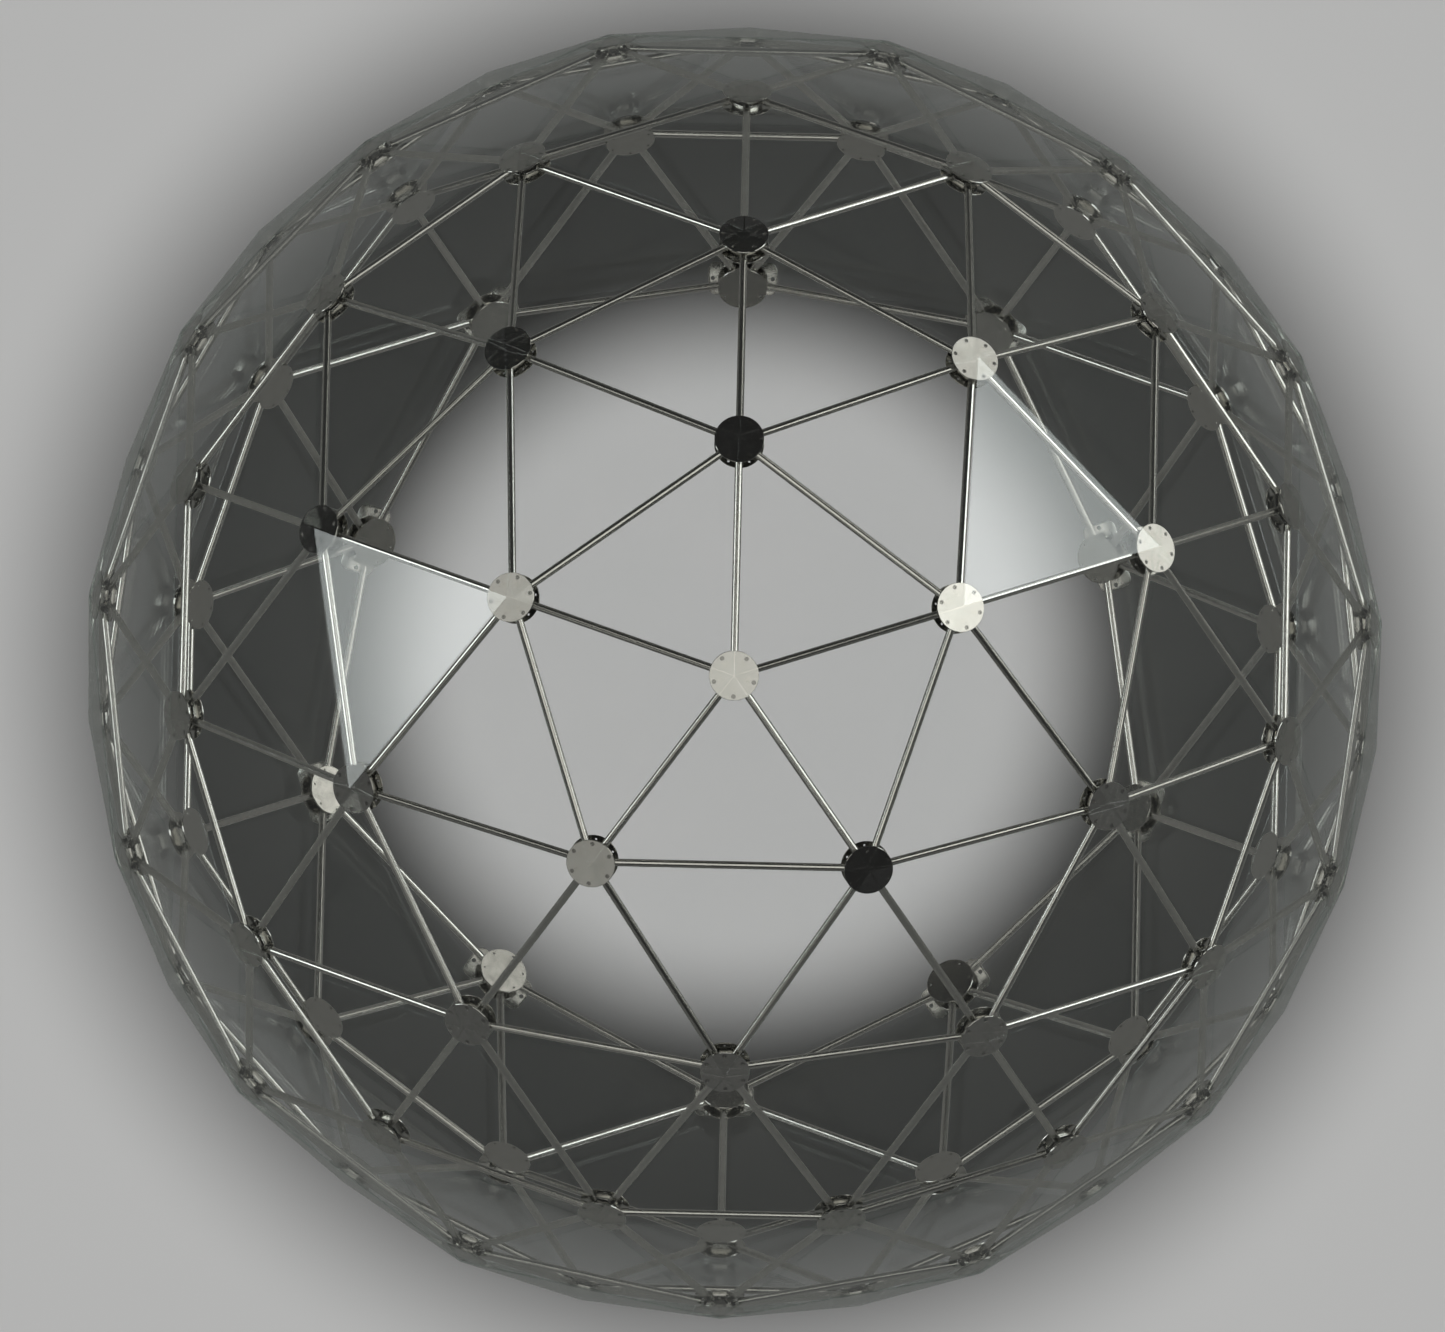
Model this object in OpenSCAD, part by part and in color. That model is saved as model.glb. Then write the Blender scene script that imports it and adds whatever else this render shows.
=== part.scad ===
// Glazed geodesic dome: a three-frequency sphere of straight tubes and spool hubs, cut below its
// seventh hub ring, clad outside with flat clear panels and standing on ten anchor feet.
// Millimetres, +Z up, origin on the floor under the middle of the dome.

/* [Frame] */
// Radius of the sphere that the tube centre lines end on
frame_r = 2080; // [1500:10:3200]
// Outside diameter of a strut tube
tube_d = 25; // [20:0.5:34]
// Wall thickness of a strut tube
tube_wall = 2; // [1.5:0.1:3]
// Space between a tube and the hub plates over and under it
tube_clear = 1.2; // [0.5:0.1:4]
// Distance from the corner of a hub block to the cut end of a tube
tube_end_gap = 6; // [4:0.5:12]

/* [Hubs] */
// Diameter of the cover discs and of the inner flanges
disc_d = 160; // [140:1:200]
// Thickness of a cover disc
cover_t = 3; // [2.5:0.1:5]
// Thickness of the flange under a cover disc
head_flange_t = 3; // [2:0.5:6]
// Step by which the flange is smaller in radius than its cover disc
flange_step = 1; // [0.5:0.1:3]
// Thickness of the inner flange
base_flange_t = 5; // [3:0.5:8]
// Bevel on the rim of a disc
rim_bevel = 1; // [0.4:0.1:1.8]
// Radius from the hub axis to a corner of the hub blocks
block_r = 52; // [46:0.5:58]
// Height of the inner block of a hub
base_block_h = 13; // [10:0.5:18]
// Height of the groove between the two blocks
groove_h = 7; // [5:0.5:9]

/* [Hub fasteners] */
// Pitch circle of the cover screws and of the inner flange's holes
screw_pcd = 134; // [124:1:138]
// Diameter of a cover screw's countersunk head
screw_head_d = 14; // [11:0.5:14]
// Thread diameter of a cover screw
screw_d = 8; // [5:1:8]
// Diameter of the plain holes in the inner flange
vent_d = 8; // [5:0.5:12]
// Thread diameter of the clamp bolt on the hub axis
bolt_d = 20; // [12:1:24]
// Diameter of the clamp bolt's head
bolt_head_d = 30; // [24:1:36]
// Height of the clamp bolt's head
bolt_head_h = 14; // [8:1:16]
// Space round the clamp bolt in the blocks and the spacer
bolt_clear = 0.5; // [0.2:0.1:1]
// Outside diameter of the spacer ring in the groove
spacer_d = 48; // [38:1:52]

/* [Strut ends] */
// Width of the tongue that sits in a hub's groove
tongue_w = 14; // [10:0.5:16]
// Space between a tongue and each side of the groove
tongue_clear = 0.1; // [0.05:0.05:0.3]
// Length of the plug inside the tube
plug_l = 32; // [20:1:60]
// Diameter of the dowel pin that holds a tongue
pin_d = 7; // [5:0.5:8]
// Depth to which a pin enters each block
pin_depth = 8; // [5:0.5:9]
// Space round a plug in its tube and a pin in its hole
pin_clear = 0.1; // [0.05:0.05:0.2]

/* [Panels] */
// Thickness of a clear panel
panel_t = 5; // [3:0.5:8]
// Width of the joint between two panels
joint_w = 3; // [2:0.5:8]
// Least space between a panel and the rim of a cover disc
panel_clear = 1.5; // [1:0.5:6]
// Diameter of a clear bonding pad
pad_d = 20; // [12:1:22]
// Distance of a pad from the hub axis
pad_r = 46; // [40:1:48]

/* [Feet] */
// Length of the five low foot plates
low_plate_l = 225; // [180:1:300]
// Length of the five high foot plates
high_plate_l = 194; // [150:1:260]
// Width of a foot plate
plate_w = 107; // [90:1:140]
// Thickness of a foot plate
plate_t = 10; // [6:1:16]
// Corner radius of a foot plate
plate_corner = 26; // [10:1:40]
// Distance from the end of a plate to the middle of its anchor hole
anchor_inset = 15; // [12:0.5:22]
// Diameter of an anchor hole
anchor_d = 13; // [10:0.5:18]
// Outside diameter of a foot post
post_d = 42; // [30:1:46]
// Wall thickness of a foot post
post_wall = 4; // [2.5:0.5:6]
// Distance from the middle of a hub disc down its face to the post
post_drop = 35; // [30:1:40]
// Space between the lowest disc rim and the foot plates
rim_clear = 12; // [5:1:60]

/* [Hidden] */
$fn = 48;

// How far a cutting body runs past the face it starts from
over = 1;
// Any chord shorter than this share of the radius joins two neighbouring hubs
reach = 0.5;
// Smallest difference between two places that counts as one
same = 0.001;
fifth = 72;

// Directions of the icosahedron's corners, one of them straight up
corner_polar = atan(2);
top = [0, 0, 1];
bottom = [0, 0, -1];
upper = [for (i = [0:5]) toward(corner_polar, 90 + i * fifth)];
lower = [for (i = [0:5]) toward(180 - corner_polar, 90 + (i + 0.5) * fifth)];
corners = concat([top], upper, lower);

// Unit vectors of the hubs, ring by ring from the top. Every edge of the icosahedron is cut in three.
rings = [
    [top],
    [for (i = [0:4]) arc(top, upper[i], 1 / 3)],
    [for (i = [0:4]) each [arc(top, upper[i], 2 / 3), middle(top, upper[i], upper[i + 1])]],
    [for (i = [0:4]) each [upper[i], arc(upper[i], upper[i + 1], 1 / 3), arc(upper[i], upper[i + 1], 2 / 3)]],
    [for (i = [0:4]) each [arc(upper[i], lower[i], 1 / 3), middle(upper[i], upper[i + 1], lower[i]),
                           arc(upper[i + 1], lower[i], 1 / 3)]],
    [for (i = [0:4]) each [arc(upper[i], lower[i], 2 / 3), arc(upper[i + 1], lower[i], 2 / 3),
                           middle(lower[i], lower[i + 1], upper[i + 1])]],
    [for (i = [0:4]) each [lower[i], arc(lower[i], lower[i + 1], 1 / 3), arc(lower[i], lower[i + 1], 2 / 3)]],
    [for (i = [0:4]) each [arc(lower[i], bottom, 1 / 3), middle(lower[i], lower[i + 1], bottom)]]
];
last_ring = len(rings) - 1;
hubs = [for (ring = rings) each ring];
low_hubs = [for (i = [0:4]) rings[last_ring][2 * i + 1]];
high_hubs = [for (i = [0:4]) rings[last_ring][2 * i]];

hoops = [for (r = [0:last_ring]) hoop_pairs(rings[r])];
braces = [for (r = [0:last_ring - 1]) brace_pairs(rings[r], rings[r + 1])];
panel_bands = [for (r = [0:last_ring - 1])
    concat(triangles(hoops[r], rings[r + 1]), triangles(hoops[r + 1], rings[r]))];

// Steepest dip of a strut below its hub's plane, and steepest tilt of a panel against a hub
dip = max([for (r = [0:2]) for (s = braces[r]) asin(norm(s[1] - s[0]) / 2)]);
tilt = max([for (r = [0:2]) for (t = panel_bands[r]) acos(facing(t) * t[0])]);

// Levels along a hub's axis, measured from the centre of the sphere
disc_r = disc_d / 2;
flange_r = disc_r - flange_step;
head_z = frame_r + tube_d / 2 + tube_clear;
flange_top_z = head_z + head_flange_t;
face_z = flange_top_z + cover_t;
base_z = frame_r - disc_r * tan(dip) - tube_d / 2 / cos(dip) - tube_clear;
groove_low_z = base_z + base_block_h;
groove_high_z = groove_low_z + groove_h;
bolt_seat_z = flange_top_z - bolt_head_h - over;
bolt_end_z = base_z - base_flange_t / 2;
panel_z = face_z + disc_r * tan(tilt) + panel_clear;

// Distance along a strut from its hub's centre to its cut end
tube_start = (block_r + tube_end_gap) / cos(dip);
tongue_r = spacer_d / 2 + over;
tongue_end_r = block_r + tube_end_gap + tube_d / 8;
pin_r = (tongue_r + block_r) / 2 + over;
bore_d = tube_d - 2 * tube_wall;

// A countersunk head's cone is as high as the step in its radius
screw_cone_h = (screw_head_d - screw_d) / 2;
screw_l = head_flange_t + cover_t;

// Height of the sphere's centre over the floor
low_hub_z = -low_hubs[0].z;
centre_z = plate_t + rim_clear + face_z * low_hub_z + disc_r * sqrt(1 - low_hub_z * low_hub_z);

steel = [0.78, 0.78, 0.76];
dark_steel = [0.55, 0.55, 0.54];
clear = [0.82, 0.88, 0.9, 0.3];

function toward(polar, azimuth) = [sin(polar) * cos(azimuth), sin(polar) * sin(azimuth), cos(polar)];
function unit(v) = v / norm(v);
function middle(a, b, c) = unit(a + b + c);
// The point a share t of the way along the great circle from a to b
function arc(a, b, t) = let (w = acos(a * b)) (sin((1 - t) * w) * a + sin(t * w) * b) / sin(w);
function near(a, b) = norm(a - b) > same && norm(a - b) < reach;
function hoop_pairs(ring) = [for (i = [0:len(ring) - 1]) for (j = [0:len(ring) - 1])
    if (j > i && near(ring[i], ring[j])) [ring[i], ring[j]]];
function brace_pairs(ring, next) = [for (a = ring) for (b = next) if (near(a, b)) [a, b]];
function triangles(pairs, ring) = [for (s = pairs) for (c = ring)
    if (near(s[0], c) && near(s[1], c)) [s[0], s[1], c]];
// Outward unit normal of a triangle of three hubs
function facing(t) = let (n = unit(cross(t[1] - t[0], t[2] - t[0]))) n * t[0] > 0 ? n : -n;
function neighbours(p) = [for (q = hubs) if (near(p, q)) q];
function nearest(p) = let (all = neighbours(p), least = min([for (q = all) norm(q - p)]))
    [for (q = all) if (norm(q - p) < least + same) q][0];
function ways(p) = min([for (c = corners) norm(c - p)]) < same ? 5 : 6;
// A vector's own x and y after its frame is turned so that +Z points along n
function local(n, v) = let (flat = sqrt(n.x * n.x + n.y * n.y), c = flat < same ? 1 : n.x / flat,
    s = flat < same ? 0 : n.y / flat) [n.z * (c * v.x + s * v.y) - flat * v.z, c * v.y - s * v.x];
// Bearing of a neighbour q seen along the axis of hub p
function bearing(p, q) = let (v = local(p, q)) atan2(v.y, v.x);
function start_bearing(p) = bearing(p, nearest(p));

// Turns +Z to point along the unit vector n
module facing_out(n) rotate([0, acos(n.z), atan2(n.y, n.x)]) children();

module on_hub(p, z) translate([0, 0, centre_z]) facing_out(p) translate([0, 0, z]) children();

module at_hubs(list, z) for (p = list) on_hub(p, z) rotate(start_bearing(p)) {
    $hub = p;
    children();
}

// Copies a child to each cover screw's place between two struts
module at_screws(p) for (k = [1:ways(p)]) rotate((k - 0.5) * 360 / ways(p)) translate([screw_pcd / 2, 0, 0])
    children();

// Copies a child to each strut's bearing on a hub, at radius r
module at_struts(p, r) for (q = neighbours(p)) rotate(bearing(p, q) - start_bearing(p)) translate([r, 0, 0])
    children();

module bevelled_disc(r, t) rotate_extrude()
    polygon([[0, 0], [r, 0], [r, t - rim_bevel], [r - rim_bevel, t], [0, t]]);

module block(p, h) cylinder(r = block_r, h = h, $fn = ways(p));

module cover_discs(ring) color(steel) at_hubs(ring, flange_top_z) difference() {
    bevelled_disc(disc_r, cover_t);
    at_screws($hub) {
        translate([0, 0, -over]) cylinder(d = screw_d, h = cover_t + 2 * over);
        translate([0, 0, cover_t - screw_cone_h]) cylinder(d1 = screw_d, d2 = screw_head_d, h = screw_cone_h);
    }
}

module hub_heads(ring) color(steel) at_hubs(ring, groove_high_z) difference() {
    union() {
        block($hub, head_z - groove_high_z);
        translate([0, 0, head_z - groove_high_z]) cylinder(r = flange_r, h = head_flange_t);
    }
    translate([0, 0, -over]) cylinder(d = bolt_d + 2 * bolt_clear, h = flange_top_z - groove_high_z);
    translate([0, 0, bolt_seat_z - groove_high_z])
        cylinder(d = bolt_head_d + 2 * bolt_clear, h = bolt_head_h + 2 * over);
    at_screws($hub) translate([0, 0, head_z - groove_high_z - over])
        cylinder(d = screw_d, h = head_flange_t + 2 * over);
    at_struts($hub, pin_r) translate([0, 0, -over]) cylinder(d = pin_d + 2 * pin_clear, h = pin_depth + over);
}

module hub_feet(ring) color(steel) at_hubs(ring, base_z - base_flange_t) difference() {
    union() {
        cylinder(r = disc_r, h = base_flange_t);
        translate([0, 0, base_flange_t]) block($hub, base_block_h);
    }
    translate([0, 0, base_flange_t / 2]) cylinder(d = bolt_d, h = base_flange_t + base_block_h);
    at_screws($hub) translate([0, 0, -over]) cylinder(d = vent_d, h = base_flange_t + 2 * over);
    at_struts($hub, pin_r) translate([0, 0, base_flange_t + base_block_h - pin_depth])
        cylinder(d = pin_d + 2 * pin_clear, h = pin_depth + over);
}

module cover_screws() color(dark_steel) at_hubs(hubs, head_z) at_screws($hub) rotate_extrude()
    polygon([[0, 0], [screw_d / 2, 0], [screw_d / 2, screw_l - screw_cone_h], [screw_head_d / 2, screw_l],
             [0, screw_l]]);

module clamp_bolts() color(dark_steel) at_hubs(hubs, bolt_end_z) difference() {
    union() {
        cylinder(d = bolt_d, h = bolt_seat_z - bolt_end_z);
        translate([0, 0, bolt_seat_z - bolt_end_z]) cylinder(d = bolt_head_d, h = bolt_head_h);
    }
    translate([0, 0, bolt_seat_z - bolt_end_z + bolt_head_h / 2])
        cylinder(d = bolt_head_d / 2, h = bolt_head_h, $fn = 6);
}

module spacer_rings() color(dark_steel) at_hubs(hubs, groove_low_z) linear_extrude(groove_h) difference() {
    circle(d = spacer_d);
    circle(d = bolt_d + 2 * bolt_clear);
}

// Turns and moves +Z onto the line from hub p to hub q, with the origin at p's end of the line
module from_hub(p, q) translate([0, 0, centre_z]) translate(p * frame_r) facing_out(unit(q - p)) children();

module struts(pairs) color(steel) for (s = pairs) from_hub(s[0], s[1])
    translate([0, 0, tube_start]) linear_extrude(frame_r * norm(s[1] - s[0]) - 2 * tube_start) difference() {
        circle(d = tube_d);
        circle(d = bore_d);
    }

// The tongue in hub p's groove and the plug in the tube that runs from p to q
module strut_end(p, q) difference() {
    union() {
        from_hub(p, q) translate([0, 0, tube_start]) cylinder(d = bore_d - 2 * pin_clear, h = plug_l);
        on_hub(p, groove_low_z + tongue_clear) rotate(bearing(p, q)) translate([tongue_r, -tongue_w / 2, 0])
            cube([tongue_end_r - tongue_r, tongue_w, groove_h - 2 * tongue_clear]);
    }
    on_hub(p, groove_low_z - over) rotate(bearing(p, q)) translate([pin_r, 0, 0])
        cylinder(d = pin_d + 2 * pin_clear, h = groove_h + 2 * over);
}

module strut_ends(groups) color(dark_steel) for (pairs = groups) for (s = pairs) {
    strut_end(s[0], s[1]);
    strut_end(s[1], s[0]);
}

module tongue_pins() color(dark_steel) at_hubs(hubs, groove_low_z - pin_depth) at_struts($hub, pin_r)
    cylinder(d = pin_d, h = groove_h + 2 * pin_depth);

// A corner of a panel's outline, moved in from both sides by half a joint
function inset(p, a, b) = let (u = unit(a - p), v = unit(b - p))
    p + (u + v) * joint_w / 2 / abs(u.x * v.y - u.y * v.x);

function outline(t) = let (n = facing(t), c = [for (p = t) local(n, p * panel_z)])
    [inset(c[0], c[1], c[2]), inset(c[1], c[2], c[0]), inset(c[2], c[0], c[1])];

module panels(band) color(clear) for (t = band)
    on_hub(facing(t), panel_z * (facing(t) * t[0])) linear_extrude(panel_t) polygon(outline(t));

// A clear pad on hub p's cover disc, cut off under the panel t
module panel_pad(p, t) difference() {
    on_hub(p, face_z) rotate(bearing(p, facing(t))) translate([pad_r, 0, 0])
        cylinder(d = pad_d, h = panel_z - face_z);
    on_hub(facing(t), panel_z * (facing(t) * p)) translate([-panel_z, -panel_z, 0])
        cube([2 * panel_z, 2 * panel_z, panel_z - face_z + disc_d]);
}

module panel_pads() color(clear) for (band = panel_bands) for (t = band) for (p = t) panel_pad(p, t);

// Moves a foot's own frame, with +X pointing outwards, to the floor under the middle of hub p's cover disc
module under_hub(p) rotate(atan2(p.y, p.x)) translate([face_z * sqrt(1 - p.z * p.z), 0, 0]) children();

module foot_plate(length) linear_extrude(plate_t) difference() {
    union() {
        square([plate_w - 2 * plate_corner, length], center = true);
        square([plate_w, length - 2 * plate_corner], center = true);
        for (x = [-1, 1]) for (y = [-1, 1])
            translate([x * (plate_w / 2 - plate_corner), y * (length / 2 - plate_corner)]) circle(r = plate_corner);
    }
    for (y = [-1, 1]) translate([0, y * (length / 2 - anchor_inset)]) circle(d = anchor_d);
}

module foot_plates(list, length) color(steel) for (p = list) under_hub(p) foot_plate(length);

// A post's top is cut to the slope of the cover disc that stands on it
module foot_posts(list) color(steel) for (p = list) difference() {
    under_hub(p) translate([post_drop * p.z, 0, plate_t]) linear_extrude(centre_z + face_z * p.z) difference() {
        circle(d = post_d);
        circle(d = post_d - 2 * post_wall);
    }
    on_hub(p, face_z - 2 * disc_d) translate([-disc_d, -disc_d, 0]) cube([2 * disc_d, 2 * disc_d, 2 * disc_d]);
}

cover_discs(rings[0]);  // cover_disc_top
cover_discs(rings[1]);  // cover_discs_ring_1
cover_discs(rings[2]);  // cover_discs_ring_2
cover_discs(rings[3]);  // cover_discs_ring_3
cover_discs(rings[4]);  // cover_discs_ring_4
cover_discs(rings[5]);  // cover_discs_ring_5
cover_discs(rings[6]);  // cover_discs_ring_6
cover_discs(rings[7]);  // cover_discs_base
hub_heads(rings[0]);  // hub_head_top
hub_heads(rings[1]);  // hub_heads_ring_1
hub_heads(rings[2]);  // hub_heads_ring_2
hub_heads(rings[3]);  // hub_heads_ring_3
hub_heads(rings[4]);  // hub_heads_ring_4
hub_heads(rings[5]);  // hub_heads_ring_5
hub_heads(rings[6]);  // hub_heads_ring_6
hub_heads(rings[7]);  // hub_heads_base
hub_feet(rings[0]);  // hub_foot_top
hub_feet(rings[1]);  // hub_feet_ring_1
hub_feet(rings[2]);  // hub_feet_ring_2
hub_feet(rings[3]);  // hub_feet_ring_3
hub_feet(rings[4]);  // hub_feet_ring_4
hub_feet(rings[5]);  // hub_feet_ring_5
hub_feet(rings[6]);  // hub_feet_ring_6
hub_feet(rings[7]);  // hub_feet_base
struts(hoops[1]);  // hoop_ring_1
struts(hoops[2]);  // hoop_ring_2
struts(hoops[3]);  // hoop_ring_3
struts(hoops[4]);  // hoop_ring_4
struts(hoops[5]);  // hoop_ring_5
struts(hoops[6]);  // hoop_ring_6
struts(hoops[7]);  // hoop_base
struts(braces[0]);  // braces_top
struts(braces[1]);  // braces_1_to_2
struts(braces[2]);  // braces_2_to_3
struts(braces[3]);  // braces_3_to_4
struts(braces[4]);  // braces_4_to_5
struts(braces[5]);  // braces_5_to_6
struts(braces[6]);  // braces_6_to_base
panels(panel_bands[0]);  // panels_top
panels(panel_bands[1]);  // panels_1_to_2
panels(panel_bands[2]);  // panels_2_to_3
panels(panel_bands[3]);  // panels_3_to_4
panels(panel_bands[4]);  // panels_4_to_5
panels(panel_bands[5]);  // panels_5_to_6
panels(panel_bands[6]);  // panels_6_to_base
cover_screws();
clamp_bolts();
spacer_rings();
strut_ends(hoops);  // hoop_strut_ends
strut_ends(braces);  // brace_strut_ends
tongue_pins();
panel_pads();
foot_plates(low_hubs, low_plate_l);  // low_foot_plates
foot_plates(high_hubs, high_plate_l);  // high_foot_plates
foot_posts(low_hubs);  // low_foot_posts
foot_posts(high_hubs);  // high_foot_posts
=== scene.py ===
"""Looks of a glazed geodesic dome: polished steel struts and spool hubs inside flat clear panels."""

from __future__ import annotations

import logging
import math
from collections.abc import Callable, Iterable, Mapping, Sequence
from dataclasses import dataclass, field
from enum import Enum
from functools import cache
from types import MappingProxyType

import bpy
from mathutils import Matrix, Vector


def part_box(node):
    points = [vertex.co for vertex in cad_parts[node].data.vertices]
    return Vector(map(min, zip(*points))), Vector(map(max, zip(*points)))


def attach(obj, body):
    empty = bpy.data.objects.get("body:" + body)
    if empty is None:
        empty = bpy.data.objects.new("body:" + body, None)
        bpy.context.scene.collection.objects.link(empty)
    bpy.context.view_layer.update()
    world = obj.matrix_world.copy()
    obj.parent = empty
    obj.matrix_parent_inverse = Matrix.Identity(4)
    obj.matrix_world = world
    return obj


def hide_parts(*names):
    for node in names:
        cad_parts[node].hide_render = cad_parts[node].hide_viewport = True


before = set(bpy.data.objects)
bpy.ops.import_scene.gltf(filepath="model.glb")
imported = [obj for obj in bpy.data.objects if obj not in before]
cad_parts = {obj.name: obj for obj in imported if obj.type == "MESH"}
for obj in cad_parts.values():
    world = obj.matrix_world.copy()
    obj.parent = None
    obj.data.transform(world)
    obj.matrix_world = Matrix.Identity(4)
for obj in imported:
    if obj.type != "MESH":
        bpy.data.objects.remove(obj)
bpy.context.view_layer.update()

LOG = logging.getLogger("dome")
MM = 0.001
BODY = "root"
FIFTH = math.tau / 5
# How far a drill runs past the face it starts from
OVER = 1 * MM
# The slack in a test of where a point lies, less than any step in a shape
HAIR = 0.1 * MM
NONE = MappingProxyType({})

Piece = bpy.types.Object
Material = bpy.types.Material
Values = Mapping[str | int, object]
Tree = bpy.types.NodeTree
Socket = bpy.types.NodeSocket
Links = Mapping[str | int, Socket]
Surface = Callable[[Tree], Socket]
Ends = Callable[[Vector, Vector], bool]
Profile = Sequence[tuple[float, float]]
Hub = Vector
Pair = tuple[Hub, Hub]
Triple = tuple[Hub, Hub, Hub]


# ---- small tools


def linear(colour: str) -> tuple[float, float, float, float]:
    """Turns an sRGB hex colour into the linear colour that shaders take.

    Args:
        colour: Six hex digits after a hash.

    Returns:
        Red, green, blue and an alpha of one.
    """
    parts = [int(colour[i : i + 2], 16) / 255 for i in (1, 3, 5)]
    red, green, blue = (c / 12.92 if c <= 0.04045 else ((c + 0.055) / 1.055) ** 2.4 for c in parts)
    return (red, green, blue, 1.0)


def add(
    tree: Tree, kind: str, inputs: Values = NONE, links: Links = NONE, **settings: object
) -> bpy.types.Node:
    """Adds one shader node with its settings, its plain socket values and its links.

    Args:
        tree: The node tree that gets the node.
        kind: The node's type name, without the "ShaderNode" that they all start with.
        inputs: Values for sockets, by socket name.
        links: Output sockets to link from, by this node's socket name.
        settings: The node's own properties.

    Returns:
        The new node.
    """
    node = tree.nodes.new(f"ShaderNode{kind}")
    for name, value in settings.items():
        setattr(node, name, value)
    for name, value in inputs.items():
        node.inputs[name].default_value = value
    for name, socket in links.items():
        tree.links.new(socket, node.inputs[name])
    return node


def new_material(name: str, surface: Surface) -> Material:
    """Makes a node material whose surface this function lays in its empty tree."""
    material = bpy.data.materials.new(name)
    material.use_nodes = True
    tree = material.node_tree
    tree.nodes.clear()
    add(tree, "OutputMaterial", NONE, {"Surface": surface(tree)})
    return material


def leave_edit() -> None:
    """Goes back from edit mode to object mode."""
    bpy.ops.object.mode_set(mode="OBJECT")


def edit_all() -> None:
    """Goes to edit mode with every face of the active object selected."""
    bpy.ops.object.mode_set(mode="EDIT")
    bpy.ops.mesh.select_mode(type="FACE")
    bpy.ops.mesh.select_all(action="SELECT")


def face_out() -> None:
    """Turns all faces of the mesh in edit mode outwards and leaves edit mode."""
    bpy.ops.mesh.select_all(action="SELECT")
    bpy.ops.mesh.normals_make_consistent(inside=False)
    leave_edit()


def deselect() -> None:
    """Leaves nothing selected and nothing in edit mode."""
    if bpy.context.object and bpy.context.object.mode != "OBJECT":
        leave_edit()
    bpy.ops.object.select_all(action="DESELECT")


def only(piece: Piece) -> None:
    """Makes one object the selected and active one."""
    deselect()
    piece.select_set(True)
    bpy.context.view_layer.objects.active = piece


def pick_edges(piece: Piece, test: Ends) -> None:
    """Selects the edges of a mesh whose two end points pass a test, and goes to edit mode."""
    only(piece)
    mesh = piece.data
    for group in (mesh.vertices, mesh.edges, mesh.polygons):
        group.foreach_set("select", [False] * len(group))
    for edge in mesh.edges:
        edge.select = test(*(mesh.vertices[i].co for i in edge.vertices))
    bpy.ops.object.mode_set(mode="EDIT")
    bpy.ops.mesh.select_mode(type="EDGE")


def bevel_edges(piece: Piece, test: Ends, offset: float, segments: int) -> None:
    """Bevels the edges of a mesh that pass a test.

    Args:
        piece: The mesh object.
        test: Says of an edge's two end points, in object coordinates, whether it is bevelled.
        offset: The bevel's width in metres.
        segments: How many flats make the bevel.
    """
    pick_edges(piece, test)
    bpy.ops.mesh.bevel(offset=offset, segments=segments)
    leave_edit()


def apply_modifier(piece: Piece, kind: str, **settings: object) -> None:
    """Adds a modifier with its settings and applies it at once."""
    only(piece)
    modifier = piece.modifiers.new(kind.lower(), kind)
    for name, value in settings.items():
        setattr(modifier, name, value)
    bpy.ops.object.modifier_apply(modifier=modifier.name)


def cut(piece: Piece, cutter: Piece) -> None:
    """Takes a cutter's space out of a piece and deletes the cutter."""
    apply_modifier(piece, "BOOLEAN", object=cutter, operation="DIFFERENCE", solver="EXACT")
    bpy.data.objects.remove(cutter, do_unlink=True)


def join(pieces: Sequence[Piece], name: str) -> Piece:
    """Joins objects into the first of them and names the result."""
    deselect()
    for piece in pieces:
        piece.select_set(True)
    bpy.context.view_layer.objects.active = pieces[0]
    if len(pieces) > 1:
        bpy.ops.object.join()
    pieces[0].name = pieces[0].data.name = name
    return pieces[0]


def stamp(template: Piece, places: Iterable[Matrix], name: str) -> list[Piece]:
    """Copies a finished template to each place, every copy with its own mesh."""
    copies = []
    for place in places:
        copy = bpy.data.objects.new(name, template.data.copy())
        copy.data.transform(place)
        bpy.context.collection.objects.link(copy)
        copies.append(copy)
    return copies


def band_nodes(kind: str) -> list[str]:
    """The CAD nodes of the bands between the rings, from the top."""
    return [f"{kind}_top", *(f"{kind}_{r}_to_{r + 1}" for r in range(1, 6)), f"{kind}_6_to_base"]


def hand_over(piece: Piece, node: str) -> None:
    """Rides a finished piece on the dome's body in place of its CAD node, and logs it."""
    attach(piece, BODY)
    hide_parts(node)
    LOG.info("%s: %d faces for %s", piece.name, len(piece.data.polygons), node)


def spun(angle: float) -> Matrix:
    """A turn about the Z axis by an angle in radians."""
    return Matrix.Rotation(angle, 4, "Z")


# ---- geometry


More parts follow.
